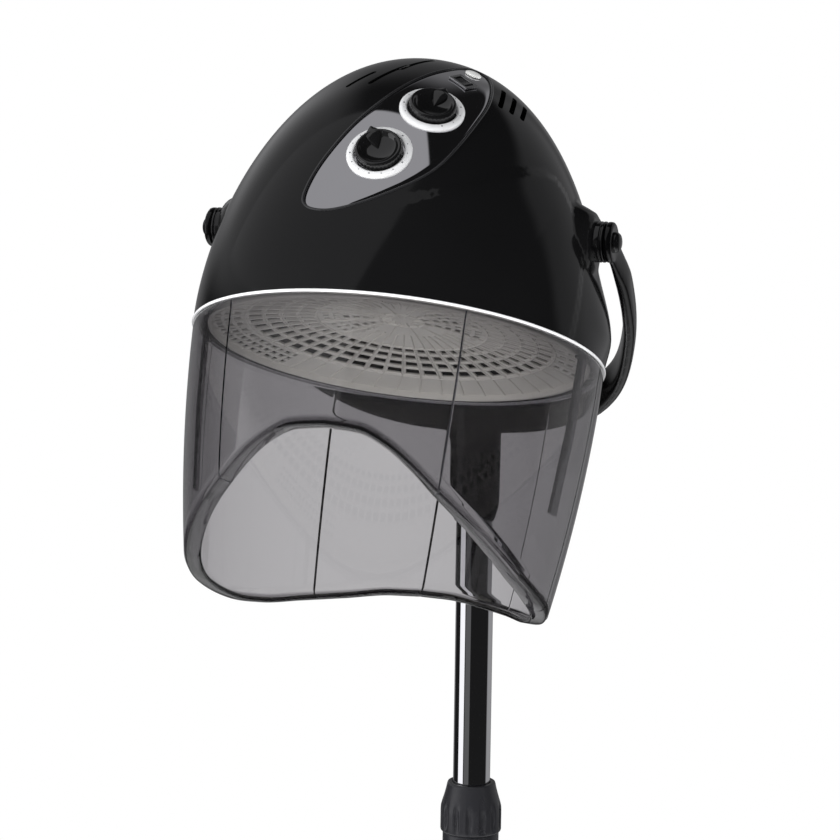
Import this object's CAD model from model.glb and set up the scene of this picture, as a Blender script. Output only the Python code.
import bpy, bmesh, math
import numpy as np
from mathutils import Matrix, Vector


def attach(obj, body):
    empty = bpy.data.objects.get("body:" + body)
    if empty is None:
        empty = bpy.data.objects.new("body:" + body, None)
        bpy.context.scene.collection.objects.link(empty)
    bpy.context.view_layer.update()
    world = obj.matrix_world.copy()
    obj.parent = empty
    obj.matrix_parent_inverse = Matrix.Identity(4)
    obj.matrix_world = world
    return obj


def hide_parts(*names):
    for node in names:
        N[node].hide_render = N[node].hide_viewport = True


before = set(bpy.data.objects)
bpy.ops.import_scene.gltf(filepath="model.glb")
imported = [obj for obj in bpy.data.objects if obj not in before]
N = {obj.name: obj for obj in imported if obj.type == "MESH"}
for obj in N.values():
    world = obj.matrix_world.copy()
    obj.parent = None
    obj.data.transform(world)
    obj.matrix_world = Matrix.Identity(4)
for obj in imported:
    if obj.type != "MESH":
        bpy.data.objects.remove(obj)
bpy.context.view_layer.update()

sc = bpy.context.scene

# ------------------------------------------------------------------ shared sizes (mm, hood frame)
POST_Y, RIM_Z, TILT = 221.6, 1294.0, math.radians(22.3)
PY, PZ = -17.2, 104.4
H, R0, BULGE = 271.0, 188.0, 6.0
CT, ST = math.cos(TILT), math.sin(TILT)


def lev(p):
    p = np.asarray(p, float)
    return (p + np.array([0, -POST_Y, RIM_Z])) / 1000.0


def hd(p):
    p = np.asarray(p, float)
    y, z = p[..., 1] - PY, p[..., 2] - PZ
    return lev(np.stack([p[..., 0], PY + y * CT + z * ST, PZ - y * ST + z * CT], -1))


def hv(v):
    v = np.asarray(v, float)
    return np.stack([v[..., 0], v[..., 1] * CT + v[..., 2] * ST, -v[..., 1] * ST + v[..., 2] * CT], -1)


def sm(t):
    t = np.clip(t, 0, 1)
    return t * t * (3 - 2 * t)


# ------------------------------------------------------------------ materials
def new_mat(name):
    m = bpy.data.materials.new(name)
    m.use_nodes = True
    nt = m.node_tree
    b = nt.nodes["Principled BSDF"]
    return m, nt, b


def noise(nt, scale, detail=4.0, rough=0.5, dist=0.0, stretch=None):
    tc = nt.nodes.new("ShaderNodeTexCoord")
    n = nt.nodes.new("ShaderNodeTexNoise")
    n.inputs["Scale"].default_value = scale
    n.inputs["Detail"].default_value = detail
    n.inputs["Roughness"].default_value = rough
    n.inputs["Distortion"].default_value = dist
    src = tc.outputs["Object"]
    if stretch:
        mp = nt.nodes.new("ShaderNodeMapping")
        mp.inputs["Scale"].default_value = stretch
        nt.links.new(src, mp.inputs["Vector"])
        src = mp.outputs["Vector"]
    nt.links.new(src, n.inputs["Vector"])
    return n.outputs["Fac"]


def ramp(nt, fac, a, b, lo=0.3, hi=0.7):
    r = nt.nodes.new("ShaderNodeMapRange")
    r.inputs["From Min"].default_value = lo
    r.inputs["From Max"].default_value = hi
    r.inputs["To Min"].default_value = a
    r.inputs["To Max"].default_value = b
    nt.links.new(fac, r.inputs["Value"])
    return r.outputs["Result"]


def colmix(nt, fac, c1, c2):
    m = nt.nodes.new("ShaderNodeMix")
    m.data_type = "RGBA"
    m.inputs["A"].default_value = (*c1, 1)
    m.inputs["B"].default_value = (*c2, 1)
    nt.links.new(fac, m.inputs["Factor"])
    return m.outputs["Result"]


def bump(nt, fac, strength, dist, b, prev=None):
    n = nt.nodes.new("ShaderNodeBump")
    n.inputs["Strength"].default_value = strength
    n.inputs["Distance"].default_value = dist
    nt.links.new(fac, n.inputs["Height"])
    if prev is not None:
        nt.links.new(prev, n.inputs["Normal"])
    nt.links.new(n.outputs["Normal"], b.inputs["Normal"])
    return n.outputs["Normal"]


def plastic(name, c1, c2, r_lo, r_hi, grain=900.0, gs=0.08, gd=0.00006, ior=1.45, coat=0.0, peel=0.0, metallic=0.0, spec=None):
    m, nt, b = new_mat(name)
    big = noise(nt, 9.0, 3.0)
    fine = noise(nt, grain, 2.0)
    mid = noise(nt, 60.0, 5.0, 0.6)
    nt.links.new(colmix(nt, big, c1, c2), b.inputs["Base Color"])
    nt.links.new(ramp(nt, mid, r_lo, r_hi), b.inputs["Roughness"])
    nrm = bump(nt, fine, gs, gd, b)
    if peel:
        bump(nt, noise(nt, 160.0, 1.0), peel, 0.0002, b, nrm)
    b.inputs["IOR"].default_value = ior
    b.inputs["Metallic"].default_value = metallic
    if coat:
        b.inputs["Coat Weight"].default_value = coat
        b.inputs["Coat Roughness"].default_value = 0.03
        b.inputs["Coat IOR"].default_value = 1.5
    if spec is not None:
        b.inputs["Specular IOR Level"].default_value = spec
    return m


def metal(name, c1, c2, r_lo, r_hi, stretch=(1, 1, 1), scale=300.0, gs=0.05, aniso=0.0):
    m, nt, b = new_mat(name)
    f = noise(nt, scale, 4.0, 0.6, 0.0, stretch)
    big = noise(nt, 12.0, 3.0)
    nt.links.new(colmix(nt, big, c1, c2), b.inputs["Base Color"])
    nt.links.new(ramp(nt, f, r_lo, r_hi), b.inputs["Roughness"])
    bump(nt, f, gs, 0.00004, b)
    b.inputs["Metallic"].default_value = 1.0
    b.inputs["Anisotropic"].default_value = aniso
    return m


def glassy(name, density, col, rough=0.02, ior=1.49):
    # smoked clear plastic that darkens with its depth; rays towards lamps pass instead of being stopped
    m, nt, b = new_mat(name)
    big = noise(nt, 4.0, 2.0)
    nt.links.new(colmix(nt, big, (0.985, 0.982, 0.985), (0.965, 0.962, 0.97)), b.inputs["Base Color"])
    nt.links.new(ramp(nt, noise(nt, 35.0, 4.0, 0.6), rough * 0.4, rough * 1.0), b.inputs["Roughness"])
    bump(nt, noise(nt, 14.0, 1.0), 0.02, 0.0004, b)
    b.inputs["Transmission Weight"].default_value = 1.0
    b.inputs["IOR"].default_value = ior
    b.inputs["Coat Weight"].default_value = 0.2
    b.inputs["Coat Roughness"].default_value = 0.03
    lp = nt.nodes.new("ShaderNodeLightPath")
    tr = nt.nodes.new("ShaderNodeBsdfTransparent")
    tr.inputs["Color"].default_value = (0.97, 0.97, 0.97, 1)
    mx = nt.nodes.new("ShaderNodeMixShader")
    out = nt.nodes["Material Output"]
    nt.links.new(lp.outputs["Is Shadow Ray"], mx.inputs["Fac"])
    nt.links.new(b.outputs["BSDF"], mx.inputs[1])
    nt.links.new(tr.outputs["BSDF"], mx.inputs[2])
    nt.links.new(mx.outputs["Shader"], out.inputs["Surface"])
    va = nt.nodes.new("ShaderNodeVolumeAbsorption")
    va.inputs["Color"].default_value = (*col, 1)
    va.inputs["Density"].default_value = density
    nt.links.new(va.outputs["Volume"], out.inputs["Volume"])
    return m


M_SHELL = plastic("shell_gloss_black", (0.0044, 0.0044, 0.0046), (0.0056, 0.0056, 0.0059), 0.07, 0.12, 700, 0.03, 0.00004, 1.32, 0.0, 0.03)
M_PANEL = plastic("panel_smoked_mirror", (0.46, 0.455, 0.48), (0.52, 0.515, 0.535), 0.025, 0.05, 500, 0.01, 0.00002, 1.5, 0.4, 0.0, 1.0)
M_BEZEL = plastic("bezel_satin_black", (0.012, 0.012, 0.013), (0.016, 0.016, 0.017), 0.16, 0.24, 900, 0.05, 0.00003, 1.48, 0.3)
M_KNOB = plastic("knob_gloss_black", (0.004, 0.004, 0.0045), (0.006, 0.006, 0.006), 0.06, 0.11, 900, 0.03, 0.00003, 1.5, 0.5)
M_SWITCH = plastic("switch_black", (0.008, 0.008, 0.009), (0.012, 0.012, 0.013), 0.2, 0.3, 900, 0.06, 0.00003, 1.5)
M_SWFRAME = metal("switch_frame_metal", (0.42, 0.42, 0.43), (0.5, 0.5, 0.51), 0.22, 0.32)
M_RING = plastic("dial_ring_white_silver", (0.66, 0.665, 0.67), (0.74, 0.74, 0.745), 0.26, 0.36, 500, 0.04, 0.00004, 1.5, 0.5, 0.0, 0.12)
M_DOT = plastic("dial_marks_grey", (0.12, 0.12, 0.13), (0.16, 0.16, 0.17), 0.4, 0.5)
M_LAMP = plastic("lamp_lens_milky", (0.82, 0.82, 0.8), (0.9, 0.9, 0.88), 0.12, 0.2, 600, 0.03, 0.00003, 1.45, 0.6)
M_TRIM = plastic("trim_bright", (0.82, 0.82, 0.83), (0.9, 0.9, 0.91), 0.14, 0.22, 700, 0.03, 0.00003, 1.5, 0.5)
M_GRILLE = plastic("grille_warm_grey", (0.66, 0.645, 0.60), (0.74, 0.725, 0.68), 0.38, 0.5, 1200, 0.1, 0.00005, 1.45)
M_DUCT = plastic("duct_grey", (0.10, 0.095, 0.085), (0.14, 0.13, 0.115), 0.45, 0.55, 1200, 0.1, 0.00005)
M_YOKE = plastic("yoke_coated_black", (0.0012, 0.0012, 0.0013), (0.002, 0.002, 0.0022), 0.12, 0.18, 1100, 0.07, 0.00005, 1.4, 0.0, 0.05)
M_CAPS = plastic("pivot_gloss_black", (0.0024, 0.0024, 0.0026), (0.0036, 0.0036, 0.0039), 0.08, 0.14, 900, 0.04, 0.00004, 1.5, 0.3)
M_COLLAR = plastic("collar_moulded_black", (0.014, 0.014, 0.016), (0.02, 0.02, 0.023), 0.26, 0.38, 1300, 0.16, 0.00008, 1.48)
M_COLUMN = plastic("column_gloss_enamel", (0.006, 0.006, 0.0065), (0.009, 0.009, 0.0095), 0.09, 0.15, 900, 0.03, 0.00004, 1.5, 0.4, 0.08)
M_BASE = plastic("base_coated_black", (0.008, 0.008, 0.0085), (0.013, 0.013, 0.0135), 0.24, 0.34, 1000, 0.14, 0.00009, 1.5, 0.1, 0.1)
M_CASTOR = plastic("castor_nylon_black", (0.012, 0.012, 0.012), (0.02, 0.02, 0.02), 0.32, 0.45, 1200, 0.15, 0.00008)
M_TREAD = plastic("castor_tread_rubber", (0.02, 0.02, 0.02), (0.032, 0.032, 0.031), 0.55, 0.7, 900, 0.25, 0.0001)
M_INNER = plastic("inner_dark_plastic", (0.03, 0.03, 0.03), (0.045, 0.045, 0.045), 0.4, 0.5)
M_CHROME = metal("chrome_tube", (0.80, 0.80, 0.82), (0.84, 0.84, 0.86), 0.02, 0.05, (1, 1, 0.03), 120.0, 0.015)
M_STEEL = metal("zinc_steel", (0.5, 0.5, 0.49), (0.58, 0.58, 0.57), 0.25, 0.4)
M_COIL = metal("heater_wire", (0.32, 0.27, 0.22), (0.4, 0.34, 0.28), 0.35, 0.5)
M_MICA = plastic("mica_board", (0.4, 0.33, 0.2), (0.5, 0.43, 0.3), 0.35, 0.5, 300, 0.1, 0.0001)
M_VISOR = glassy("visor_smoked_clear", 325.0, (0.02, 0.0, 0.03))
M_STAY = glassy("visor_stay_smoked", 420.0, (0.02, 0.0, 0.04), 0.05)
M_SEAM = plastic("visor_seam_dark", (0.02, 0.02, 0.023), (0.03, 0.03, 0.033), 0.2, 0.3)


# ------------------------------------------------------------------ mesh helpers
def obj_from(name, verts, faces, mats, body, reps=(), smooth=True, fmat=None, angle=None):
    me = bpy.data.meshes.new(name)
    me.from_pydata([tuple(map(float, v)) for v in verts], [], [list(map(int, f)) for f in faces])
    me.validate()
    for m in (mats if isinstance(mats, (list, tuple)) else [mats]):
        me.materials.append(m)
    if fmat is not None:
        me.polygons.foreach_set("material_index", np.asarray(fmat, dtype=np.int32))
    me.polygons.foreach_set("use_smooth", [smooth] * len(me.polygons))
    if angle is not None:
        me.set_sharp_from_angle(angle=math.radians(angle))
    me.update()
    o = bpy.data.objects.new(name, me)
    sc.collection.objects.link(o)
    if body:
        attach(o, body)
    if reps:
        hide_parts(*reps)
    return o


def grid_faces(nu, nv, wrap_u=True, wrap_v=False, off=0):
    # index = v*nu + u
    f = []
    for v in range(nv if wrap_v else nv - 1):
        for u in range(nu if wrap_u else nu - 1):
            a = v * nu + u
            b = v * nu + (u + 1) % nu
            c = ((v + 1) % nv) * nu + (u + 1) % nu
            d = ((v + 1) % nv) * nu + u
            f.append((a + off, b + off, c + off, d + off))
    return f


def lathe(profile, n=96, closed=True):
    # profile: list of (r, z); returns verts, faces, closed along the profile; r=0 points become poles
    P = list(profile)
    th = np.linspace(0, 2 * math.pi, n, endpoint=False)
    verts, rows = [], []
    for r, z in P:
        if r < 1e-6:
            rows.append([len(verts)])
            verts.append((0, 0, z))
        else:
            rows.append(list(range(len(verts), len(verts) + n)))
            verts += [(r * math.cos(t), r * math.sin(t), z) for t in th]
    faces = []
    m = len(P)
    for i in range(m if closed else m - 1):
        a, b = rows[i], rows[(i + 1) % m]
        for k in range(n):
            k2 = (k + 1) % n
            if len(a) == 1 and len(b) == 1:
                continue
            if len(a) == 1:
                faces.append((a[0], b[k2], b[k]))
            elif len(b) == 1:
                faces.append((a[k], a[k2], b[0]))
            else:
                faces.append((a[k], a[k2], b[k2], b[k]))
    return np.array(verts, float), faces


def round_profile(pts, rad, n=4):
    # rounds the corners of a closed (r, z) polygon; rad is one number or one per point
    out = []
    m = len(pts)
    for i in range(m):
        p0, p1, p2 = (np.array(pts[(i + k) % m], float) for k in (-1, 0, 1))
        r = rad[i] if isinstance(rad, (list, tuple)) else rad
        d1, d2 = p0 - p1, p2 - p1
        l1, l2 = np.linalg.norm(d1), np.linalg.norm(d2)
        if r <= 0 or p1[0] < 1e-6:
            out.append(tuple(p1))
            continue
        r_ = min(r, 0.45 * l1, 0.45 * l2)
        a, b = p1 + d1 / l1 * r_, p1 + d2 / l2 * r_
        for k in range(n + 1):
            t = k / n
            out.append(tuple((1 - t) ** 2 * a + 2 * t * (1 - t) * p1 + t * t * b))
    return out


def place(v, o, x, y, z):
    v = np.asarray(v, float)
    return np.asarray(o) + v[:, :1] * np.asarray(x) + v[:, 1:2] * np.asarray(y) + v[:, 2:3] * np.asarray(z)


def join(parts):
    vs, fs, off = [], [], 0
    for v, f in parts:
        vs.append(np.asarray(v, float))
        fs += [tuple(i + off for i in q) for q in f]
        off += len(v)
    return np.concatenate(vs), fs


def bevel(o, width, seg=3, angle=32):
    b = o.modifiers.new("edge_round", "BEVEL")
    b.width = width
    b.segments = seg
    b.limit_method = "ANGLE"
    b.angle_limit = math.radians(angle)
    b.harden_normals = False
    b.use_clamp_overlap = True
    for p in o.data.polygons:
        pass
    return o


# ------------------------------------------------------------------ hood surface
def sec(z, inset=0.0):
    h = H - inset
    t = np.clip(z / h, 0.0, 1.0)
    return (1 - t ** 1.656) ** (1 / 2.241), t


CREASE = np.array([(2, 74), (9.5, 80), (22.4, 94), (31.1, 108), (45.2, 130), (56, 142), (64, 147.5), (69.5, 146), (73.5, 138), (76.2, 122), (77.5, 104), (76.6, 74), (73.2, 40), (69.5, 2), (68, -12)], float)


def seg_dist(P, A):
    best = np.full(P.shape[0], 1e9)
    for i in range(len(A) - 1):
        a, b = A[i], A[i + 1]
        d = b - a
        t = np.clip(((P - a) @ d) / (d @ d), 0, 1)
        q = a + t[:, None] * d
        best = np.minimum(best, np.linalg.norm(P - q, axis=1))
    return best


def inside_poly(P, A):
    x, y = P[:, 0], P[:, 1]
    ins = np.zeros(len(P), bool)
    j = len(A) - 1
    for i in range(len(A)):
        xi, yi, xj, yj = A[i, 0], A[i, 1], A[j, 0], A[j, 1]
        c = ((yi > y) != (yj > y)) & (x < (xj - xi) * (y - yi) / (yj - yi + 1e-12) + xi)
        ins ^= c
        j = i
    return ins


K = 2.9  # mm per degree round the hood, for distances near the crease


def dome(phi, z, inset=0.0, detail=False):
    phi = np.asarray(phi, float)
    z = np.asarray(z, float)
    s, t = sec(z, inset)
    a = np.maximum((R0 - inset) * s, 1e-6)
    yc = -31.7 * t + 31.7 * t * t
    f = np.radians(phi)
    w = np.abs((phi + 180) % 360 - 180)
    zz = sm(z / 32.0) * (1 - sm((z - 36) / 56.0))
    r = a + BULGE * sm((w - 77) / 30.0) * zz
    if detail:
        P = np.stack([((phi + 180) % 360 - 180) * K, z], -1).reshape(-1, 2)
        A = CREASE * np.array([K, 1.0])
        d = seg_dist(P, A)
        poly = np.concatenate([A, [[2 * K, -12]]])
        ins = inside_poly(P, poly)
        start = sm((P[:, 0] / K - 2) / 22.0)
        disp = np.where(ins, 1.0, 1.0 - sm(d / 6.5)) * 0.0
        disp = 1.3 * start * np.where(ins, 0.5 + 0.5 * sm(d / 5.0), 0.5 - 0.5 * sm(d / 5.0))
        fade = 1 - sm((d - 26) / 60.0)
        r = r + (disp * np.where(ins, fade, 1.0)).reshape(r.shape)
    x, y = r * np.sin(f), yc - r * np.cos(f)
    if detail:
        # flat seat round each pivot, blended into the side
        for sgn in (1, -1):
            m = (x * sgn) > 0
            d = np.hypot(y - PY, z - PZ)
            k = (1 - sm((d - 22) / 15.0)) * m
            x = np.where(m & (k > 0), x + k * (sgn * 176.9 - x), x)
    return np.stack([x, y, z * np.ones_like(x)], -1)


def outside(p):
    s, t = sec(p[..., 2])
    yc = -31.7 * t + 31.7 * t * t
    phi = np.degrees(np.arctan2(p[..., 0], -(p[..., 1] - yc)))
    q = dome(phi, p[..., 2])
    return (np.hypot(p[..., 0], p[..., 1] - yc) > np.hypot(q[..., 0], q[..., 1] - yc)) | (p[..., 2] >= H)


def drop(p, d, lo=-90.0, hi=60.0):
    # slide points along d onto the hood surface
    p, d = np.asarray(p, float), np.asarray(d, float)
    a = np.full(p.shape[:-1], lo)
    b = np.full(p.shape[:-1], hi)
    for _ in range(34):
        m = (a + b) / 2
        o = outside(p + m[..., None] * d)
        b = np.where(o, m, b)
        a = np.where(o, a, m)
    return p + a[..., None] * d


def surf_normal(p):
    p = np.asarray(p, float)
    s, t = sec(p[..., 2])
    yc = -31.7 * t + 31.7 * t * t
    phi = np.degrees(np.arctan2(p[..., 0], -(p[..., 1] - yc)))
    z = p[..., 2]
    e = 0.4
    u = dome(phi + e, z) - dome(phi - e, z)
    zl, zh = np.clip(z - 1.0, 0, H - 0.5), np.clip(z + 1.0, 0, H - 0.2)
    v = dome(phi, zh) - dome(phi, zl)
    n = np.cross(u, v)
    n /= np.linalg.norm(n, axis=-1, keepdims=True) + 1e-12
    out = np.stack([p[..., 0], p[..., 1], p[..., 2] - 60], -1)
    sg = np.sign((n * out).sum(-1))
    return n * np.where(sg == 0, 1, sg)[..., None]


PO = np.array([34.0, -152.6, 156.6])
PN = np.array([0.2038, -0.8744, 0.4403]); PN /= np.linalg.norm(PN)
PU = np.array([0.5353, 0.4761, 0.6977]); PU -= PN * (PU @ PN); PU /= np.linalg.norm(PU)
PV = np.cross(PN, PU)
OUTLINE = np.array([(-108.5, 14.5), (-105, -1.6), (-94, -15.5), (-76.4, -28.1), (-57.1, -37.0), (-37.2, -43.0), (-16.1, -45.2),
           (4.2, -42.6), (35.9, -33.0), (60, -23.0), (84.2, -10.5), (108, 8.2), (120.6, 22.5), (127.5, 38.0), (119, 47.3),
           (99.0, 48.4), (78.9, 48.6), (47.3, 48.2), (17.6, 46.6), (-6.8, 44.8), (-29, 42.6), (-53.4, 38.6), (-76.8, 33.6),
           (-94.4, 27.6), (-104.5, 21.8)])


def closed_spline(P, n):
    # periodic cubic through the points, chord-length parameter, even steps
    m = len(P)
    d = np.linalg.norm(np.roll(P, -1, 0) - P, axis=1) ** 0.5
    T = np.concatenate([[0], np.cumsum(d)])
    h = d
    A = np.zeros((m, m)); B = np.zeros((m, P.shape[1]))
    for i in range(m):
        hm, hp = h[i - 1], h[i]
        A[i, (i - 1) % m] += hm
        A[i, i] += 2 * (hm + hp)
        A[i, (i + 1) % m] += hp
        B[i] = 6 * ((P[(i + 1) % m] - P[i]) / hp - (P[i] - P[i - 1]) / hm)
    Mv = np.linalg.solve(A, B)
    def ev(t):
        i = min(int(np.searchsorted(T, t, "right") - 1), m - 1)
        hh = h[i]; a = (T[i + 1] - t) / hh; b = (t - T[i]) / hh
        return a * P[i] + b * P[(i + 1) % m] + ((a ** 3 - a) * Mv[i] + (b ** 3 - b) * Mv[(i + 1) % m]) * hh * hh / 6
    fine = np.array([ev(t) for t in np.linspace(0, T[-1], n * 12, endpoint=False)])
    L = np.concatenate([[0], np.cumsum(np.linalg.norm(np.roll(fine, -1, 0) - fine, axis=1))])
    want = np.linspace(0, L[-1], n, endpoint=False)
    ff = np.concatenate([fine, fine[:1]])
    return np.stack([np.interp(want, L, ff[:, k]) for k in range(P.shape[1])], -1)


def grow2d(C, d):
    t = np.roll(C, -1, 0) - np.roll(C, 1, 0)
    n = np.stack([t[:, 1], -t[:, 0]], -1)
    n /= np.linalg.norm(n, axis=1, keepdims=True)
    area = 0.5 * np.sum(C[:, 0] * np.roll(C[:, 1], -1) - np.roll(C[:, 0], -1) * C[:, 1])
    if area < 0:
        n = -n
    return C + n * d


def panel3(uv, h=0.0):
    return PO + uv[..., :1] * PU + uv[..., 1:2] * PV + h * PN


# ------------------------------------------------------------------ hood shell
def frame_at(p, xd):
    p = np.asarray(p, float)
    c = np.array([0, 0, 70.0])
    d = p - c
    q = drop(p[None], (d / np.linalg.norm(d))[None], -40, 40)[0]
    n = surf_normal(q[None])[0]
    x = np.asarray(xd, float)
    x = x - n * (x @ n); x /= np.linalg.norm(x)
    return q, x, np.cross(n, x), n


def slot_prism(fr, L, W, lo, hi, n=10):
    o, x, y, z = fr
    pts = []
    for k in range(n + 1):
        a = -math.pi / 2 + math.pi * k / n
        pts.append(((L - W) / 2 + W / 2 * math.cos(a), W / 2 * math.sin(a)))
    for k in range(n + 1):
        a = math.pi / 2 + math.pi * k / n
        pts.append((-(L - W) / 2 + W / 2 * math.cos(a), W / 2 * math.sin(a)))
    P = np.array(pts)
    m = len(P)
    v = np.concatenate([o + P[:, :1] * x + P[:, 1:] * y + lo * z, o + P[:, :1] * x + P[:, 1:] * y + hi * z])
    f = [tuple(range(m - 1, -1, -1)), tuple(range(m, 2 * m))] + [(i, (i + 1) % m, m + (i + 1) % m, m + i) for i in range(m)]
    return v, f


nphi = 288
phis = np.linspace(0, 360, nphi, endpoint=False)
uu = np.linspace(0, 1, 105)
zs = H * (1 - (1 - uu) ** 2.0)
zs = zs[:-1]
PH, ZZ = np.meshgrid(phis, zs)
outer = dome(PH, ZZ, 0.0, True)
zi = np.linspace(0, 1, 46)
zi = (H - 3.0) * (1 - (1 - zi) ** 2.0)
zi = zi[:-1]
PH2, ZZ2 = np.meshgrid(phis, zi)
inner = dome(PH2, ZZ2, 3.0, False)
no, ni = len(zs) * nphi, len(zi) * nphi
top_o, top_i = np.array([[0, 0.0, H]]), np.array([[0, 0.0, H - 3.0]])
rim_o = outer[0].copy(); rim_o[:, 2] = 0.0
V = np.concatenate([outer.reshape(-1, 3), inner.reshape(-1, 3), top_o, top_i])
F = grid_faces(nphi, len(zs))
F += [(a, d, c, b) for a, b, c, d in grid_faces(nphi, len(zi), off=no)]
for k in range(nphi):
    k2 = (k + 1) % nphi
    F.append(((len(zs) - 1) * nphi + k, (len(zs) - 1) * nphi + k2, no + ni))
    F.append((no + (len(zi) - 1) * nphi + k2, no + (len(zi) - 1) * nphi + k, no + ni + 1))
    F.append((k2, k, no + k, no + k2))
shell = obj_from("hood_shell_skin", hd(V), F, M_SHELL, None)

PU_T = (0.5353, 0.4761, 0.6977)
VENTS = [((-43.5, -115.2, 208.3), (-22.5, -101.0, 229.5)), ((-21.1, -120.1, 210.0), (4.3, -91.2, 239.9)),
         ((0.0, -101.6, 231.1), (18.9, -66.3, 254.5)),
         ((84.2, -53.0, 231.7), (92.2, -85.3, 203.5)), ((93.4, -46.3, 226.8), (100.7, -77.7, 200.9)),
         ((101.5, -39.0, 220.5), (107.5, -68.0, 197.5))]
cut = []
base_curve = closed_spline(OUTLINE, 220)
g = grow2d(base_curve, 1.4)
m = len(g)
v = np.concatenate([panel3(g, -90), panel3(g, 40)])
f = [tuple(range(m - 1, -1, -1)), tuple(range(m, 2 * m))] + [(i, (i + 1) % m, m + (i + 1) % m, m + i) for i in range(m)]
cut.append((v, f))
for a, b in VENTS:
    a, b = np.array(a), np.array(b)
    cut.append(slot_prism(frame_at((a + b) / 2, b - a), np.linalg.norm(b - a), 5.0, -14, 14))
for k in range(-4, 5):
    q = dome(np.array(180 + k * 7.5), np.array(150.0))
    cut.append(slot_prism(frame_at(q, (0, 0, 1)), 44.0, 4.6, -14, 14))
cv, cf = join(cut)
cutter = obj_from("cutter_tmp", hd(cv), cf, M_SHELL, None, smooth=False)
bm = bmesh.new(); bm.from_mesh(cutter.data); bmesh.ops.recalc_face_normals(bm, faces=bm.faces); bm.to_mesh(cutter.data); bm.free()
bm = bmesh.new(); bm.from_mesh(shell.data); bmesh.ops.recalc_face_normals(bm, faces=bm.faces); bm.to_mesh(shell.data); bm.free()
mod = shell.modifiers.new("openings", "BOOLEAN")
mod.operation = "DIFFERENCE"
mod.solver = "MANIFOLD"
mod.object = cutter
bpy.context.view_layer.update()
dg = bpy.context.evaluated_depsgraph_get()
me2 = bpy.data.meshes.new_from_object(shell.evaluated_get(dg))
shell.modifiers.clear()
old = shell.data
shell.data = me2
me2.name = "hood_shell_skin"
bpy.data.meshes.remove(old)
bpy.data.objects.remove(cutter)


def head_inv(P):
    P = np.asarray(P, float) * 1000.0 - np.array([0, -POST_Y, RIM_Z])
    y, z = P[:, 1] - PY, P[:, 2] - PZ
    return np.stack([P[:, 0], PY + y * CT - z * ST, PZ + y * ST + z * CT], -1)


def detail_normals(o):
    # shade the cut shell from its own smooth surface, so cuts leave no shading marks
    me = o.data
    me.polygons.foreach_set("use_smooth", [True] * len(me.polygons))
    nv = len(me.vertices)
    co = np.empty(nv * 3, np.float32); me.vertices.foreach_get("co", co); co = co.reshape(-1, 3)
    p = head_inv(co)
    s, t = sec(p[:, 2])
    yc = -31.7 * t + 31.7 * t * t
    phi = np.degrees(np.arctan2(p[:, 0], -(p[:, 1] - yc)))
    z = np.clip(p[:, 2], 0.0, H - 0.05)
    e = 0.35
    u = dome(phi + e, z, 0, True) - dome(phi - e, z, 0, True)
    dz = np.clip((H - z) * 0.2, 0.02, 1.2)
    v = dome(phi, np.clip(z + dz, 0, H - 0.01), 0, True) - dome(phi, np.clip(z - dz, 0, H), 0, True)
    n = np.cross(u, v); n /= np.linalg.norm(n, axis=1, keepdims=True) + 1e-12
    n *= np.sign((n * (p - np.array([0, 0, 60]))).sum(1))[:, None]
    q = dome(phi, z, 0, True)
    rad = np.hypot(p[:, 0], p[:, 1] - yc); rq = np.hypot(q[:, 0], q[:, 1] - yc)
    on = np.abs(((p - q) * n).sum(1)) < 0.35
    n = hv(n)
    nl = len(me.loops)
    li = np.empty(nl, np.int32); me.loops.foreach_get("vertex_index", li)
    cn = np.empty(nl * 3, np.float32)
    me.corner_normals.foreach_get("vector", cn)
    cn = cn.reshape(-1, 3)
    fn = np.empty(len(me.polygons) * 3, np.float32); me.polygons.foreach_get("normal", fn); fn = fn.reshape(-1, 3)
    tot = np.empty(len(me.polygons), np.int32); me.polygons.foreach_get("loop_total", tot)
    lf = np.repeat(np.arange(len(tot)), tot)
    face = fn[lf]
    use = on[li] & ((n[li] * face).sum(1) > 0.8)
    out = np.where(use[:, None], n[li], face)
    ins = (~on[li]) & ((cn * face).sum(1) > 0.85)
    out = np.where(ins[:, None], cn, out)
    me.normals_split_custom_set([tuple(map(float, x)) for x in out])


detail_normals(shell)
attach(shell, "head"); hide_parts("hood_shell")

# ------------------------------------------------------------------ control panel, bezel
K1, K2 = np.array((14.1, -167.3, 130.0)), np.array((45.6, -134.0, 182.8))
FR1, FR2 = frame_at(K1, PU_T), frame_at(K2, PU_T)
c0 = np.array([8.0, 8.0])
nr = 44
ring_curve = grow2d(base_curve, -0.15)
rows = []
for i in range(1, nr + 1):
    t = i / nr
    t = t ** 0.85
    rows.append(c0 + (ring_curve - c0) * t)
uv = np.stack(rows)
P = drop(panel3(uv), np.broadcast_to(PN, uv.shape[:-1] + (3,)))
nn = surf_normal(P)
edge = np.array([0.0] * (nr - 4) + [0.05, 0.15, 0.5, 1.1])
P = P - nn * edge[:, None, None]
for fr in (FR1, FR2):
    o, x, y, z = fr
    d = P - o
    rr = np.hypot(d @ x, d @ y)
    hgt = d @ z
    k = 1 - sm((rr - 24.0) / 4.0)
    P = P + ((-2.9 - hgt) * k)[..., None] * z
cen = drop(panel3(c0[None]), PN[None])
nP = P.reshape(-1, 3)
bot = P[-1] - nn[-1] * 3.0
V = np.concatenate([cen, nP, bot])
F = [(0, 1 + k, 1 + (k + 1) % m) for k in range(m)]
F += [(1 + a, 1 + d, 1 + c, 1 + b) for a, b, c, d in grid_faces(m, nr)]
off = 1 + (nr - 1) * m
F += [(off + k, off + m + k, off + m + (k + 1) % m, off + (k + 1) % m) for k in range(m)]
F.append(tuple(off + m + k for k in range(m)))
panel = obj_from("control_panel_inlay", hd(V), F, M_PANEL, "head", ["control_panel"], angle=50)
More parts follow.
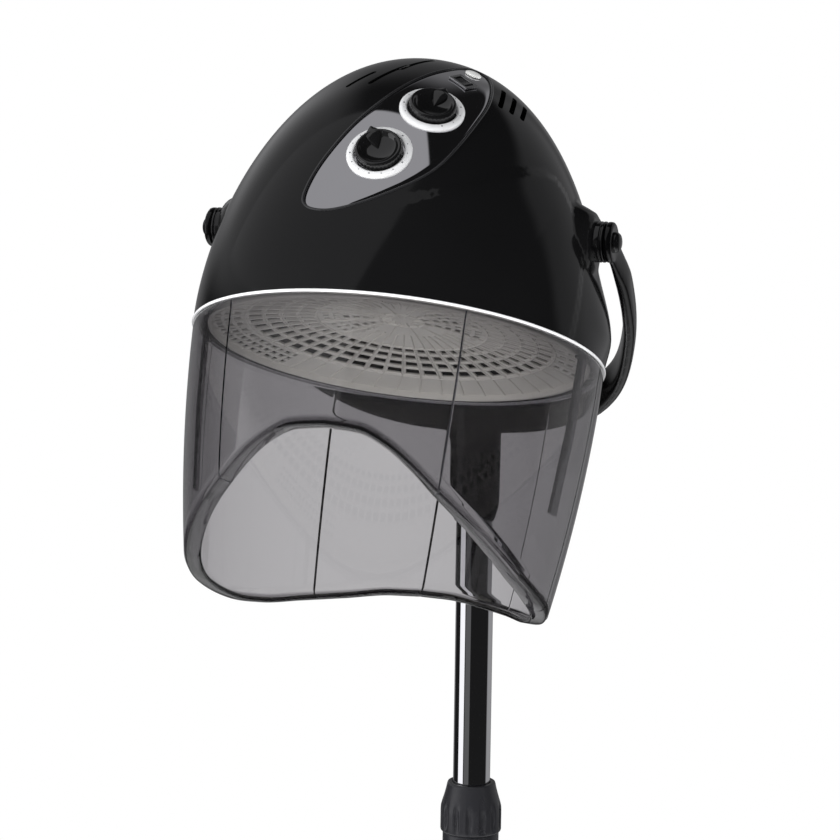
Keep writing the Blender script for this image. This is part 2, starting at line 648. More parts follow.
bm = bmesh.new(); bm.from_mesh(panel.data); bmesh.ops.recalc_face_normals(bm, faces=bm.faces); bm.to_mesh(panel.data); bm.free()

bc = grow2d(base_curve, 0.95)
C = drop(panel3(bc), np.broadcast_to(PN, bc.shape[:-1] + (3,)))
cn_ = surf_normal(C)
ct = np.roll(C, -1, 0) - np.roll(C, 1, 0); ct /= np.linalg.norm(ct, axis=1, keepdims=True)
cb = np.cross(ct, cn_)
prof = [(-1.25, -1.5), (-1.25, 0.1), (-1.0, 0.75), (-0.4, 1.1), (0.4, 1.1), (1.0, 0.75), (1.25, 0.1), (1.25, -1.5)]
V = np.concatenate([C + a * cb + b * cn_ for a, b in prof])
F = grid_faces(m, len(prof), True, True)
bez = obj_from("panel_bezel_rim", hd(V), F, M_BEZEL, "head", ["panel_bezel"])
bm = bmesh.new(); bm.from_mesh(bez.data); bmesh.ops.recalc_face_normals(bm, faces=bm.faces); bm.to_mesh(bez.data); bm.free()

# ------------------------------------------------------------------ dial rings and knobs
ring_prof = round_profile([(22.4, -2.6), (29.0, -2.6), (29.0, -0.2), (27.0, 1.5), (23.6, 1.9), (22.4, 1.2)], [0.2, 0.3, 0.5, 1.2, 0.9, 0.4], 4)
rv, rf = lathe(ring_prof, 120)
for nm, fr, first, last, cnt in (("timer", FR1, 62, 352, 13), ("temperature", FR2, -115, 155, 11)):
    o, x, y, z = fr
    ro = obj_from(nm + "_ring", hd(place(rv, o, x, y, z)), rf, M_RING, "head", [nm + "_dial_ring"])
    dots = []
    for k in range(cnt):
        a = math.radians(first + (last - first) * k / (cnt - 1))
        big = k % 3 == 0
        dr = 0.85 if big else 0.55
        dv, df = lathe([(0, 0.25), (dr * 0.7, 0.2), (dr, 0.0), (dr, -0.3), (0, -0.3)], 18)
        c = np.array([25.4 * math.cos(a), 25.4 * math.sin(a), 1.72])
        dots.append((place(dv + c, o, x, y, z), df))
    dv, df = join(dots)
    obj_from(nm + "_marks", hd(dv), df, M_DOT, "head")


def knob_mesh():
    # round cup: skirt with faint flutes, rolled rim, dished face
    prof = [(0.0, -1.9), (20.3, -1.9), (20.9, -1.3), (20.9, 2.0), (20.9, 5.4), (20.6, 6.6), (19.9, 7.6), (18.9, 8.1), (17.9, 7.8), (17.0, 6.9),
            (16.2, 5.7), (15.0, 4.4), (13.0, 3.2), (10.0, 2.3), (6.0, 1.6), (3.0, 1.35), (0.0, 1.25)]
    v, f = lathe(prof, 144)
    a = np.arctan2(v[:, 1], v[:, 0])
    r = np.hypot(v[:, 0], v[:, 1])
    fl = np.where((r > 20) & (v[:, 2] < 5.6) & (v[:, 2] > -1.5), -0.22 * (1 + np.cos(a * 36)), 0)
    v[:, 0] *= 1 + fl / 21.0; v[:, 1] *= 1 + fl / 21.0
    return v, f


def pointer_mesh():
    # triangular pointer: rises out of the dish, crosses the rim and reaches over the ring
    half = [(3.2, 0.7), (6.0, 2.3), (9.5, 4.3), (13.0, 6.2), (16.0, 7.3), (18.5, 6.6), (20.6, 4.7), (23.0, 2.6), (25.2, 0.9)]
    rr = np.array([p[0] for p in half])
    topz = np.interp(rr, [3, 9, 14, 17, 20, 25.6], [1.7, 4.0, 6.6, 7.7, 7.9, 7.0])
    botz = np.where(rr > 19.5, 2.6, 0.9)
    v, f = [], []
    for x, w, t, b in zip(rr, [p[1] for p in half], topz, botz):
        v += [(x, -w, b), (x, -w * 0.97, t - 0.5), (x, -w * 0.8, t), (x, 0, t + 0.25), (x, w * 0.8, t), (x, w * 0.97, t - 0.5), (x, w, b)]
    n = 7
    for i in range(len(half) - 1):
        for j in range(n - 1):
            f.append((i * n + j, (i + 1) * n + j, (i + 1) * n + j + 1, i * n + j + 1))
        f.append((i * n + n - 1, (i + 1) * n + n - 1, (i + 1) * n, i * n))
    f.append(tuple(range(n)))
    f.append(tuple((len(half) - 1) * n + j for j in reversed(range(n))))
    return np.array(v, float), f


def turned(v, t):
    c, s = math.cos(t), math.sin(t)
    return np.stack([v[:, 0] * c - v[:, 1] * s, v[:, 0] * s + v[:, 1] * c, v[:, 2]], -1)


for nm, fr, turn in (("timer", FR1, math.radians(62)), ("temperature", FR2, math.radians(20))):
    o, x, y, z = fr
    kv, kf = knob_mesh()
    obj_from(nm + "_knob_cap", hd(place(turned(kv, turn), o, x, y, z)), kf, M_KNOB, nm, [nm + "_knob"], angle=60)
    pv_, pf_ = pointer_mesh()
    po = obj_from(nm + "_knob_pointer", hd(place(turned(pv_, turn), o, x, y, z)), pf_, M_KNOB, nm)
    bm = bmesh.new(); bm.from_mesh(po.data); bmesh.ops.recalc_face_normals(bm, faces=bm.faces); bm.to_mesh(po.data); bm.free()
    po.data.set_sharp_from_angle(angle=math.radians(45))
    bevel(po, 0.0003, 2, 45)

# ------------------------------------------------------------------ visor
EDGE = np.array([(-215, -107), (-198, -110), (-183, -116), (-171, -129), (-148, -160), (-125, -178), (-92, -199), (-54, -216), (-15, -226.5),
        (25, -231.5), (60, -231), (94, -226), (128, -216), (150, -207.5), (165, -200), (185, -196), (215, -193)], float)


def pchip(xk, yk, x):
    h = np.diff(xk); d = np.diff(yk) / h
    mm = np.zeros(len(xk))
    for i in range(1, len(xk) - 1):
        if d[i - 1] * d[i] > 0:
            w1, w2 = 2 * h[i] + h[i - 1], h[i] + 2 * h[i - 1]
            mm[i] = (w1 + w2) / (w1 / d[i - 1] + w2 / d[i])
    mm[0], mm[-1] = d[0], d[-1]
    i = np.clip(np.searchsorted(xk, x) - 1, 0, len(h) - 1)
    t = (x - xk[i]) / h[i]
    return ((1 + 2 * t) * (1 - t) ** 2 * yk[i] + t * (1 - t) ** 2 * h[i] * mm[i] + t * t * (3 - 2 * t) * yk[i + 1] + t * t * (t - 1) * h[i] * mm[i + 1])


PHK = np.array([0, 10, 18, 26, 34, 44, 57, 71, 90, 110, 125, 140, 155, 170, 180], float)
ZBK = np.array([-116, -118.5, -128, -143, -160, -178, -199, -216, -228, -231.5, -227, -217, -207.5, -199, -197.5], float)


def zb(phi):
    w = np.abs((np.asarray(phi, float) + 180) % 360 - 180)
    return pchip(PHK, ZBK, w)


def vr(z):
    t = -np.asarray(z, float) / 200.0
    return 187.7 - 5.4 * t - 14.4 * t * t


SEAMS = [34.5, -34.5, 92, -92, 144.5, -144.5, 180]
ph = list(np.linspace(0, 360, 300, endpoint=False))
fine = []
for s_ in SEAMS:
    s0 = s_ % 360
    ph = [p for p in ph if min(abs(p - s0), 360 - abs(p - s0)) > 0.75]
    fine += [(s0 + d) % 360 for d in (-0.62, -0.36, -0.22, 0.22, 0.36, 0.62)]
ph = np.array(sorted(ph + fine))
seam_d = np.min(np.stack([np.minimum(np.abs(ph - s_ % 360), 360 - np.abs(ph - s_ % 360)) for s_ in SEAMS]), 0)
groove = np.where(seam_d < 0.3, 0.8, 0.0)
zB = zb(ph)
loops = []


def add(r, z):
    loops.append(np.stack([(r - 0 * z) * np.sin(np.radians(ph)), -(r - 0 * z) * np.cos(np.radians(ph)), z + 0 * ph], -1))


one = np.ones_like(ph)
add(183.1 * one, 12.6 * one); add(183.4 * one, 12.0 * one); add(183.4 * one, -0.2 * one)
add(184.4 * one, -1.6 * one); add(187.0 * one, -3.1 * one); add(187.6 * one - groove * .5, -4.2 * one)
nw = 30
for i in range(1, nw + 1):
    z = -4.2 + (zB + 4.6 + 4.2) * (i / nw)
    add(vr(z) - groove, z)
RL = vr(zB)
for a in (15, 32, 50, 68, 90):
    t = math.radians(a)
    add(RL - 4.6 * (1 - math.cos(t)) - groove * 0.9, zB + 4.6 * (1 - math.sin(t)))
add(RL - 8.5 - groove * 0.5, zB)
for a in (90, 60, 30, 0, -30, -60, -90):
    t = math.radians(a)
    add(RL - 13.0 - 2.3 * math.cos(t), zB + 2.4 - 2.4 * math.sin(t))
add(RL - 9.0, zB + 5.0)
for a in (90, 60, 30, 0):
    t = math.radians(a)
    add(vr(zB + 9) - 2.4 - 4.0 * math.sin(t) + 0.0, zB + 9.2 - 4.0 * math.cos(math.radians(90 - a)) * 0 - 4.0 * (1 - math.cos(math.radians(90 - (90 - a)))) * 0 - 4.0 * (math.sin(t)))
for i in range(1, nw):
    z = (zB + 10.0) + (-5.0 - (zB + 10.0)) * (i / (nw - 1))
    add(vr(z) - 2.4, z)
add(184.0 * one, -3.0 * one); add(182.6 * one, -1.0 * one); add(182.3 * one, 0.5 * one); add(182.3 * one, 12.0 * one); add(182.6 * one, 12.6 * one)
A = np.array(loops)
nl_, np_ = A.shape[0], A.shape[1]
F = grid_faces(np_, nl_, True, True)
mid = (seam_d < 0.3)
fm = []
for v_ in range(nl_):
    for u_ in range(np_):
        u2 = (u_ + 1) % np_
        fm.append(1 if (mid[u_] and mid[u2] and 5 <= v_ <= 5 + nw + 9) else 0)
visor = obj_from("visor_shell", hd(A.reshape(-1, 3)), F, [M_VISOR, M_SEAM], "head", ["visor"], fmat=fm, angle=60)
bm = bmesh.new(); bm.from_mesh(visor.data); bmesh.ops.recalc_face_normals(bm, faces=bm.faces); bm.to_mesh(visor.data); bm.free()

# ------------------------------------------------------------------ diffuser grille
GR = 599.0
thick = 2.6


def gz(r):
    return 28.0 - r * r / (2 * GR)


na = 96 * 4  # angular cells: each 7.5 degree pitch is 8 cells
rb = [0, 8, 14, 20]
holes_r = []
for i in range(6):
    a = 21.5 + i * 9.2
    rb += [a, a + 5.4]
    holes_r.append((a, a + 5.4, "inner"))
for i in range(4):
    a = 81.5 + i * 15.4
    rb += [a, a + 3.4, a + 7.8, a + 11.2]
    holes_r.append((a, a + 11.2, "band"))
for i in range(3):
    a = 146.5 + i * 8.6
    rb += [a, a + 5.2]
    holes_r.append((a, a + 5.2, "outer"))
rb += [173.0, 174.6]
rb = sorted(set(rb))
rb[0] = 3.0
th = np.linspace(0, 360, na, endpoint=False)
V, F = [], []
for r in rb:
    V += [(r * math.sin(math.radians(t)), -r * math.cos(math.radians(t)), gz(r)) for t in th]
cell = 360.0 / na
for i in range(len(rb) - 1):
    r1, r2 = rb[i], rb[i + 1]
    rm = (r1 + r2) / 2
    kind = next((h[2] for h in holes_r if h[0] - 1e-6 <= r1 and r2 <= h[1] + 1e-6), None)
    for k in range(na):
        t = (k + 0.5) * cell
        hole = False
        side = abs(((t + 90) % 180) - 90)  # 0 at front/back, 90 at left/right
        if kind == "band":
            hole = 1.2 / rm * 57.3 * 1.0 < (t % 7.5) < 7.5 - 1.2 / rm * 57.3 * 1.0 and (k % 8) not in (0,)
        elif kind == "inner":
            pitch = 7.5 if rm > 52 else 15.0
            nn_ = int(pitch / cell)
            hole = side > 52 and (k % nn_) not in ((0, 1, 2) if rm > 52 else (0, 1, 2, 3)) and rm > 21
        elif kind == "outer":
            hole = side > 58 and (k % 4) not in (0,)
        if not hole:
            a = i * na + k
            b = i * na + (k + 1) % na
            F.append((a, b, b + na, a + na))
F.append(tuple(range(na)))
gv = np.array(V)
gr = obj_from("grille_plate", hd(gv), F, M_GRILLE, "head", ["diffuser_grille"], angle=40)
bm = bmesh.new(); bm.from_mesh(gr.data)
bmesh.ops.delete(bm, geom=[v for v in bm.verts if not v.link_faces], context="VERTS")
bmesh.ops.recalc_face_normals(bm, faces=bm.faces)
up = hv(np.array([0, 0, 1.0]))
if sum(f.normal.dot(Vector(up)) * f.calc_area() for f in bm.faces) < 0:
    bmesh.ops.reverse_faces(bm, faces=bm.faces)
bm.to_mesh(gr.data); bm.free()
so = gr.modifiers.new("plate", "SOLIDIFY"); so.thickness = thick / 1000.0; so.offset = -1.0 if False else 1.0
bv = gr.modifiers.new("soft_edges", "BEVEL"); bv.width = 0.00035; bv.segments = 1; bv.limit_method = "ANGLE"; bv.angle_limit = math.radians(50)

# raised ribs under the plate: radial spokes with a kink at the slot band, and rings
parts = []


def strip(path, w, h, up_n):
    # path points on the underside; w wide, h deep, rounded top
    P_ = np.asarray(path, float)
    t_ = np.gradient(P_, axis=0); t_ /= np.linalg.norm(t_, axis=1, keepdims=True)
    s_ = np.cross(t_, up_n); s_ /= np.linalg.norm(s_, axis=1, keepdims=True)
    sec_ = [(-w / 2, 0.5), (-w / 2, -h * 0.5), (-w * 0.3, -h * 0.9), (0, -h), (w * 0.3, -h * 0.9), (w / 2, -h * 0.5), (w / 2, 0.5)]
    vv = np.concatenate([P_ + a * s_ + b * np.asarray(up_n) for a, b in sec_])
    n_ = len(P_); m_ = len(sec_)
    ff = []
    for j in range(m_ - 1):
        for i in range(n_ - 1):
            ff.append((j * n_ + i, j * n_ + i + 1, (j + 1) * n_ + i + 1, (j + 1) * n_ + i))
    ff.append(tuple(j * n_ for j in range(m_)))
    ff.append(tuple(j * n_ + n_ - 1 for j in reversed(range(m_))))
    for i in range(n_ - 1):
        ff.append(((m_ - 1) * n_ + i, (m_ - 1) * n_ + i + 1, i + 1, i))
    return vv, ff


for k in range(48):
    t = k * 7.5 + 0.47
    side = abs(((t + 90) % 180) - 90)
    r_in = 10 if k % 4 == 0 else (78.5 if side > 50 else 46)
    rr = np.linspace(r_in, 172, 30)
    tt = np.radians(t + np.where(rr > 143, (rr - 143) * 0.06, 0) - np.where(rr < 79, (79 - rr) * 0.04, 0))
    path = np.stack([rr * np.sin(tt), -rr * np.cos(tt), gz(rr)], -1)
    parts.append(strip(path, 1.7, 1.5, (0, 0, 1.0)))
for r, w, h in ((20.4, 2.2, 1.6), (78.8, 2.2, 1.5), (94.9, 1.2, 0.9), (110.3, 1.2, 0.9), (125.7, 1.2, 0.9), (142.0, 2.2, 1.5)):
    tt = np.radians(np.linspace(0, 360, 145))
    path = np.stack([r * np.sin(tt), -r * np.cos(tt), np.full_like(tt, gz(r))], -1)
    parts.append(strip(path, w, h, (0, 0, 1.0)))
pv, pf = join(parts)
ribs = obj_from("grille_ribs", hd(pv), pf, M_GRILLE, "head", angle=45)
bm = bmesh.new(); bm.from_mesh(ribs.data); bmesh.ops.recalc_face_normals(bm, faces=bm.faces); bm.to_mesh(ribs.data); bm.free()
fl_prof = round_profile([(171.4, -2.2), (174.9, -2.2), (174.9, 5.6), (171.4, 4.6)], [0.9, 0.9, 0.4, 0.4], 4)
fv, ff = lathe(fl_prof, 240)
obj_from("grille_flange", hd(fv), ff, M_GRILLE, "head", angle=50)

# ------------------------------------------------------------------ yoke
CL = [(191.3, -17.2), (192.2, 5), (192.6, 25), (191.6, 45), (188.6, 68), (180.0, 100), (165.6, 136), (152.0, 158), (128, 182), (90, 201), (45, 211), (0, 213.5)]
SP = np.array([(-17.2, 104.4, 13.0), (20, 70, 12.5), (64, 30, 12.5), (100, 1, 13.5), (136, -28, 15.5), (176, -60, 18), (205, -84, 20.5), (240, -112, 22)], float)
full = np.array(CL + [(-x, y) for x, y in reversed(CL[:-1])], float)


def open_curve(P, n):
    d = np.concatenate([[0], np.cumsum(np.linalg.norm(np.diff(P, axis=0), axis=1))])
    t = np.linspace(0, d[-1], n)
    return np.stack([pchip(d, P[:, k], t) for k in range(P.shape[1])], -1)


xy = open_curve(full, 220)
for _ in range(6):
    xy[1:-1] = (xy[:-2] + 2 * xy[1:-1] + xy[2:]) / 4
zc = pchip(SP[:, 0], SP[:, 1], xy[:, 1]); hh = pchip(SP[:, 0], SP[:, 2], xy[:, 1])
path = np.stack([xy[:, 0], xy[:, 1], zc], -1)
tg = np.gradient(path, axis=0); tg /= np.linalg.norm(tg, axis=1, keepdims=True)
t2 = np.gradient(xy, axis=0); t2 /= np.linalg.norm(t2, axis=1, keepdims=True)
nh = np.stack([t2[:, 1], -t2[:, 0], 0 * t2[:, 0]], -1)
bn = np.cross(tg, nh); bn /= np.linalg.norm(bn, axis=1, keepdims=True)
near = 1 - sm((xy[:, 1] - PY - 8) / 34.0)
ht_ = 6.5 - 2.9 * near
path[:, 0] += np.sign(path[:, 0]) * (0.6 - 1.9 * near) * sm((np.abs(path[:, 0]) - 120) / 50)
ns = 28
V = []
for k in range(ns):
    a = 2 * math.pi * k / ns
    ca, sa = math.cos(a), math.sin(a)
    e = 0.72
    V.append(path + (abs(ca) ** e * np.sign(ca) * ht_[:, None]) * nh + (abs(sa) ** e * np.sign(sa)) * hh[:, None] * bn)
V = np.concatenate(V)
n_ = len(path)
F = []
for j in range(ns):
    for i in range(n_ - 1):
        F.append((j * n_ + i, j * n_ + i + 1, ((j + 1) % ns) * n_ + i + 1, ((j + 1) % ns) * n_ + i))
F.append(tuple(j * n_ for j in range(ns))); F.append(tuple(j * n_ + n_ - 1 for j in reversed(range(ns))))
yp = [(V, F)]
for s_ in (1, -1):
    ev, ef = lathe(round_profile([(0, 186.1), (18.4, 186.1), (18.4, 193.6), (0, 193.6)], [0, 1.2, 2.2, 0], 5), 72)
    q = np.stack([s_ * ev[:, 2], ev[:, 1] + PY, ev[:, 0] * 1.0 + PZ], -1)
    yp.append((q, ef))
hvv, hf = lathe(round_profile([(0, -202.6), (21.3, -202.6), (26, -186), (26, -62), (21, -58), (0, -56)], [0, 1.5, 5, 4, 5, 0], 5), 96)
hvv = hvv + np.array([0, POST_Y, 0])
yp.append((hvv, hf))
# web plate that carries the hub between the arms
flare = [(0, -128), (24.5, -128), (25.6, -118), (28.5, -110), (34.0, -104), (42.0, -100), (42.0, -72), (0, -72)]
wv, wf = lathe(round_profile(flare, [0, 2, 5, 5, 4, 4, 5, 0], 4), 72)
wv = wv * np.array([1.0, 0.2, 1.0]) + np.array([0, 212.0, 0])
yp.append((wv, wf))
yv, yf = join(yp)
yoke = obj_from("yoke_casting", lev(yv), yf, M_YOKE, None)
bm = bmesh.new(); bm.from_mesh(yoke.data); bmesh.ops.recalc_face_normals(bm, faces=bm.faces); bm.to_mesh(yoke.data); bm.free()
rm = yoke.modifiers.new("cast", "REMESH"); rm.mode = "VOXEL"; rm.voxel_size = 0.0016; rm.use_smooth_shade = True
s1 = yoke.modifiers.new("flow", "CORRECTIVE_SMOOTH") if False else yoke.modifiers.new("flow", "SMOOTH")
s1.factor = 0.5; s1.iterations = 9
bpy.context.view_layer.update()
me3 = bpy.data.meshes.new_from_object(yoke.evaluated_get(bpy.context.evaluated_depsgraph_get()))
yoke.modifiers.clear(); old = yoke.data; yoke.data = me3; bpy.data.meshes.remove(old)
if not me3.materials:
    me3.materials.append(M_YOKE)
me3.polygons.foreach_set("use_smooth", [True] * len(me3.polygons))
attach(yoke, "yoke"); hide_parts("yoke")

for s_, side in ((1, "right"), (-1, "left")):
    bv_, bf_ = lathe(round_profile([(5.1, 161.0), (12.0, 161.0), (12.0, 172.5), (18.4, 172.5), (18.4, 182.0), (17.6, 182.6), (17.6, 183.4), (18.4, 184.0), (18.4, 185.8), (5.1, 185.8)],
                                   [0.2, 0.6, 0.6, 0.8, 0.3, 0.2, 0.2, 0.3, 0.7, 0.3], 3), 96)
    q = np.stack([s_ * bv_[:, 2], bv_[:, 1] + PY, bv_[:, 0] + PZ], -1)
    po = obj_from("pivot_boss_" + side, hd(q) if False else lev(q), bf_, M_CAPS, "head", ["pivot_bush_" + side], angle=40)
    bm = bmesh.new(); bm.from_mesh(po.data); bmesh.ops.recalc_face_normals(bm, faces=bm.faces); bm.to_mesh(po.data); bm.free()
cparts = []
for s_ in (1, -1):
    bv_, bf_ = lathe(round_profile([(0, 192.6), (9.4, 192.6), (9.4, 195.6), (7.4, 198.4), (4.0, 199.6), (0, 199.9)], [0, 0.2, 0.8, 1.2, 1.4, 0], 4), 64)
    cparts.append((np.stack([s_ * bv_[:, 2], bv_[:, 1] + PY, bv_[:, 0] + PZ], -1), bf_))
qv, qf = join(cparts)
po = obj_from("pivot_cap_pair", lev(qv), qf, M_CAPS, "yoke", ["pivot_caps"], angle=40)
bm = bmesh.new(); bm.from_mesh(po.data); bmesh.ops.recalc_face_normals(bm, faces=bm.faces); bm.to_mesh(po.data); bm.free()

# ------------------------------------------------------------------ height collar
nf = 14
prof = [(25.5, 769.2), (29.4, 769.0), (30.8, 769.6), (31.2, 770.8), (31.2, 774), (31.2, 780), (31.2, 786), (31.2, 791), (30.9, 795), (30.0, 798.5), (28.6, 803), (27.0, 808.5), (25.6, 814),
        (24.8, 818), (24.2, 819.6), (23.4, 820.0), (19.9, 820.0), (19.45, 819.5), (19.45, 804.5), (25.2, 801.5), (25.5, 799)]
cv_, cf_ = lathe(prof, nf * 16)
a = np.arctan2(cv_[:, 1], cv_[:, 0]); r = np.hypot(cv_[:, 0], cv_[:, 1])
env = sm((cv_[:, 2] - 771.5) / 4.0) * (1 - sm((cv_[:, 2] - 790) / 11.0)) * (r > 26)
flute = np.clip(np.cos(a * nf), -0.2, 1.0)
dr_ = -2.6 * env * sm((flute + 0.2) / 1.2)
cv_[:, 0] *= (r + dr_) / r; cv_[:, 1] *= (r + dr_) / r
obj_from("collar_nut", cv_ / 1000.0, cf_, M_COLLAR, "collar", ["height_collar"], angle=55)

# ------------------------------------------------------------------ CAD nodes that keep their shape
KEEP = {"timer_unit": M_INNER, "thermostat_unit": M_INNER, "switch_housing": M_SWFRAME, "rocker_key": M_SWITCH, "indicator_lamp": M_LAMP,
        "visor_trim_ring": M_TRIM, "visor_screws": M_STEEL, "visor_stay_left": M_STAY, "visor_stay_right": M_STAY, "inner_duct": M_DUCT,
        "fan_housing": M_INNER, "motor_bracket": M_STEEL, "fan_motor": M_STEEL, "fan_impeller": M_INNER, "heater_frame": M_MICA, "heater_coils": M_COIL,
        "thermal_cutout": M_STEEL, "pivot_bush_left": M_CAPS, "pivot_bush_right": M_CAPS, "cable_gland": M_COLLAR, "terminal_block": M_INNER,
        "swivel_bush": M_INNER, "swivel_knob": M_COLLAR, "pivot_bolt_left": M_CAPS, "pivot_bolt_right": M_CAPS, "pivot_nuts": M_STEEL, "pivot_caps": M_CAPS,
        "height_tube": M_CHROME, "tube_guide_plug": M_INNER, "tube_collet": M_INNER, "lower_column": M_COLUMN, "column_sleeve": M_COLLAR,
        "column_foot_plug": M_INNER, "column_bolt": M_STEEL, "star_base": M_BASE}
for k in range(5):
    KEEP[f"castor_{k+1}_housing"] = M_CASTOR
    KEEP[f"castor_{k+1}_wheels"] = M_TREAD
BEV = {"star_base": 0.0022, "column_sleeve": 0.0006, "swivel_knob": 0.0008, "pivot_bush_left": 0.0009, "pivot_bush_right": 0.0009, "cable_gland": 0.0006,
       "switch_housing": 0.0003, "rocker_key": 0.0003, "visor_trim_ring": 0.0002}
for k in range(5):
    BEV[f"castor_{k+1}_housing"] = 0.0007
for n, o in N.items():
    if n in KEEP:
        me = o.data
        if me.materials:
            for i in range(len(me.materials)):
                me.materials[i] = KEEP[n]
        else:
            me.materials.append(KEEP[n])
        if n in BEV:
            w = o.modifiers.new("weld", "WELD"); w.merge_threshold = 0.00002
            bevel(o, BEV[n])
        else:
            w = o.modifiers.new("weld", "WELD"); w.merge_threshold = 0.00002

# ------------------------------------------------------------------ stage, light, camera
fm_, nt, b = new_mat("floor_pale")
b.inputs["Base Color"].default_value = (0.84, 0.84, 0.84, 1); b.inputs["Roughness"].default_value = 0.6
tc = nt.nodes.new("ShaderNodeTexCoord"); ln = nt.nodes.new("ShaderNodeVectorMath"); ln.operation = "LENGTH"
nt.links.new(tc.outputs["Object"], ln.inputs[0])
mr = nt.nodes.new("ShaderNodeMapRange"); mr.inputs["From Min"].default_value = 0.6; mr.inputs["From Max"].default_value = 1.9
mr.interpolation_type = "SMOOTHSTEP"
nt.links.new(ln.outputs["Value"], mr.inputs["Value"])
lp = nt.nodes.new("ShaderNodeLightPath")
st = nt.nodes.new("ShaderNodeMapRange"); st.inputs["To Min"].default_value = 0.06; st.inputs["To Max"].default_value = 1.0
sn = nt.nodes.new("ShaderNodeMath"); sn.operation = "MAXIMUM"
nt.links.new(lp.outputs["Is Camera Ray"], sn.inputs[0]); nt.links.new(lp.outputs["Is Transmission Ray"], sn.inputs[1])
nt.links.new(sn.outputs["Value"], st.inputs["Value"])
em = nt.nodes.new("ShaderNodeEmission"); em.inputs["Color"].default_value = (1, 1, 1, 1)
nt.links.new(st.outputs["Result"], em.inputs["Strength"])
mx = nt.nodes.new("ShaderNodeMixShader")
nt.links.new(mr.outputs["Result"], mx.inputs["Fac"]); nt.links.new(b.outputs["BSDF"], mx.inputs[1]); nt.links.new(em.outputs["Emission"], mx.inputs[2])
nt.links.new(mx.outputs["Shader"], nt.nodes["Material Output"].inputs["Surface"])
me = bpy.data.meshes.new("floor"); me.from_pydata([(2.5 * math.cos(k * math.pi / 48), 2.5 * math.sin(k * math.pi / 48), 0) for k in range(96)], [], [tuple(range(96))]); me.materials.append(fm_)
floor = bpy.data.objects.new("floor", me); sc.collection.objects.link(floor)

# studio round the dryer: white behind it, dark sides with soft panels where the gloss should catch light
w = bpy.data.worlds.new("studio"); sc.world = w; w.use_nodes = True
nt = w.node_tree
for n_ in list(nt.nodes):
    nt.nodes.remove(n_)


def mth(op, a, b=None):
    n = nt.nodes.new("ShaderNodeMath"); n.operation = op
    for i, q in enumerate((a, b)):
        if q is None:
            continue
        if isinstance(q, (int, float)):
            n.inputs[i].default_value = q
        else:
            nt.links.new(q, n.inputs[i])
    return n.outputs[0]


def above(v, edge, soft):
    n = nt.nodes.new("ShaderNodeMapRange"); n.interpolation_type = "SMOOTHSTEP"
    n.inputs["From Min"].default_value = edge - soft; n.inputs["From Max"].default_value = edge + soft
    nt.links.new(v, n.inputs["Value"])
    return n.outputs["Result"]


def below(v, edge, soft):
    return mth("SUBTRACT", 1.0, above(v, edge, soft))


def prod(*a):
    r = a[0]
    for q in a[1:]:
        r = mth("MULTIPLY", r, q)
    return r


tc = nt.nodes.new("ShaderNodeTexCoord"); sx = nt.nodes.new("ShaderNodeSeparateXYZ")
nt.links.new(tc.outputs["Generated"], sx.inputs[0])
X, Y, Z = sx.outputs[0], sx.outputs[1], sx.outputs[2]
zc_ = mth("MAXIMUM", Z, 0.08)
U, Vv = mth("DIVIDE", X, zc_), mth("DIVIDE", Y, zc_)
m1 = prod(below(mth("ADD", Vv, mth("MULTIPLY", U, 0.33)), 0.135, 0.012), below(mth("ADD", Vv, mth("MULTIPLY", U, 1.7)), 0.277, 0.02),
          below(mth("SUBTRACT", U, mth("MULTIPLY", Vv, 0.33)), 0.298, 0.02), above(Z, 0.2, 0.08))
m2 = prod(below(X, -0.5, 0.1), above(Z, 0.12, 0.1))
m4 = prod(above(Y, 0.42, 0.08), above(X, 0.1, 0.1), below(Z, 0.62, 0.05))
m5 = prod(above(Y, 0.6, 0.15), below(X, 0.05, 0.1))
az_ = mth("DIVIDE", X, mth("MAXIMUM", mth("MULTIPLY", Y, -1.0), 0.02))
hz = prod(above(Z, -0.45, 0.1), below(Z, 0.22, 0.06), above(mth("MULTIPLY", Y, -1.0), 0.02, 0.02))
s3 = prod(hz, above(az_, -4.3, 0.3), below(az_, -0.86, 0.03))
s4 = prod(hz, above(az_, -0.70, 0.03), below(az_, -0.06, 0.03))
lv = mth("ADD", 0.012, mth("MULTIPLY", mth("MAXIMUM", m1, mth("MULTIPLY", m2, 0.7)), 0.5))
lv = mth("ADD", lv, mth("MULTIPLY", m4, 0.3))
lv = mth("ADD", lv, mth("MULTIPLY", m5, 0.2))
lv = mth("ADD", lv, mth("MULTIPLY", s3, 1.15))
lv = mth("ADD", lv, mth("MULTIPLY", s4, 0.1))
gl_ = nt.nodes.new("ShaderNodeBackground"); nt.links.new(lv, gl_.inputs["Strength"]); gl_.inputs["Color"].default_value = (0.98, 0.98, 1.0, 1)
df_ = nt.nodes.new("ShaderNodeBackground"); df_.inputs["Color"].default_value = (0.97, 0.98, 1.0, 1); df_.inputs["Strength"].default_value = 0.5
wh_ = nt.nodes.new("ShaderNodeBackground"); wh_.inputs["Color"].default_value = (1, 1, 1, 1); wh_.inputs["Strength"].default_value = 1.0
lp = nt.nodes.new("ShaderNodeLightPath")
mxa = nt.nodes.new("ShaderNodeMixShader"); nt.links.new(lp.outputs["Is Glossy Ray"], mxa.inputs["Fac"])
nt.links.new(df_.outputs[0], mxa.inputs[1]); nt.links.new(gl_.outputs[0], mxa.inputs[2])
seen = mth("MAXIMUM", lp.outputs["Is Camera Ray"], lp.outputs["Is Transmission Ray"])
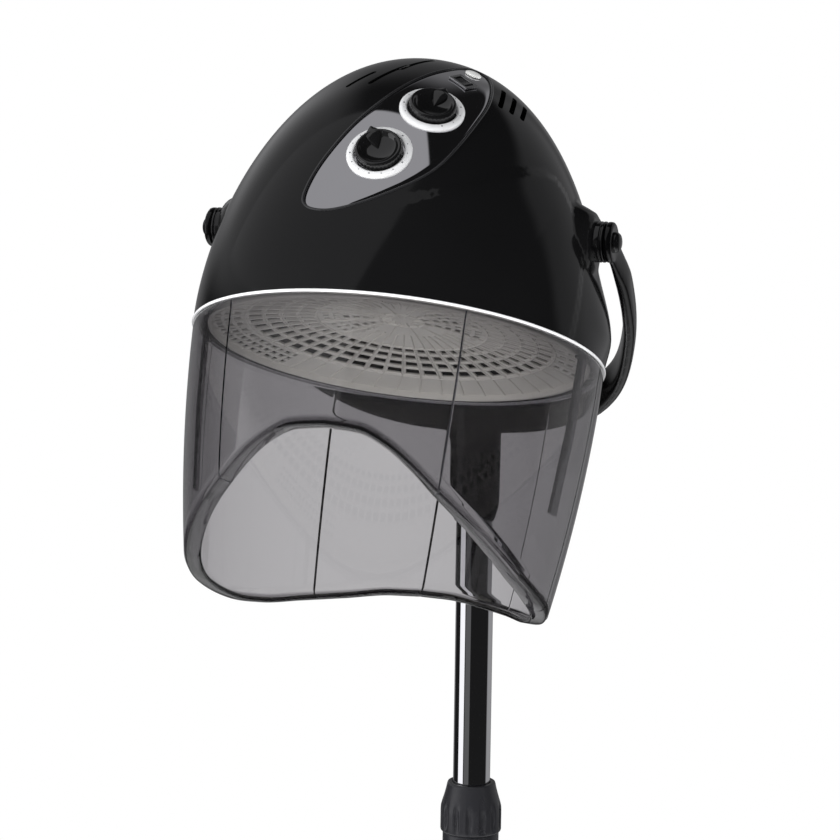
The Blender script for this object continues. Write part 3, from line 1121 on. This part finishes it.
mxb = nt.nodes.new("ShaderNodeMixShader"); nt.links.new(seen, mxb.inputs["Fac"])
nt.links.new(mxa.outputs[0], mxb.inputs[1]); nt.links.new(wh_.outputs[0], mxb.inputs[2])
wo = nt.nodes.new("ShaderNodeOutputWorld"); nt.links.new(mxb.outputs[0], wo.inputs["Surface"])


def area(name, loc, target, sx_, sy_, power, col=(1, 1, 1)):
    l = bpy.data.lights.new(name, "AREA"); l.shape = "RECTANGLE"; l.size = sx_; l.size_y = sy_; l.energy = power; l.color = col
    o = bpy.data.objects.new(name, l); sc.collection.objects.link(o)
    o.location = loc
    o.rotation_euler = (Vector(target) - Vector(loc)).to_track_quat("-Z", "Y").to_euler()
    o.visible_glossy = False
    o.visible_camera = False
    o.visible_transmission = False
    return o


HC = (0.0, -0.27, 1.33)
area("key_left", (-1.9, -2.1, 2.0), HC, 0.8, 1.7, 75)
area("low_front", (0.3, -2.3, 0.45), (0, -0.25, 1.3), 1.4, 0.8, 40)
area("right_fill", (2.2, -0.6, 1.7), HC, 0.8, 1.6, 26)

psi, e_, roll = math.radians(17.3), math.radians(8.5), math.radians(0.782)
C = np.array([757.43, -2404.52, 307.76])
fw = np.array([-math.sin(psi) * math.cos(e_), math.cos(psi) * math.cos(e_), -math.sin(e_)])
rt = np.array([math.cos(psi), math.sin(psi), 0.0])
upv = np.cross(rt, fw)
rc = rt * math.cos(roll) + upv * math.sin(roll)
uc = upv * math.cos(roll) - rt * math.sin(roll)
cd = bpy.data.cameras.new("cam"); cam = bpy.data.objects.new("cam", cd); sc.collection.objects.link(cam)
cd.sensor_width = 36.0; cd.sensor_fit = "AUTO"; cd.lens = 2749.135 / 840 * 36.0
cd.clip_start, cd.clip_end = 0.05, 60.0
M = Matrix.Identity(4)
for i in range(3):
    M[i][0], M[i][1], M[i][2], M[i][3] = rc[i], uc[i], -fw[i], lev(C)[i]
cam.matrix_world = M
sc.camera = cam
sc.view_settings.view_transform = "Standard"
sc.view_settings.look = "None"
sc.view_settings.exposure = 0.0
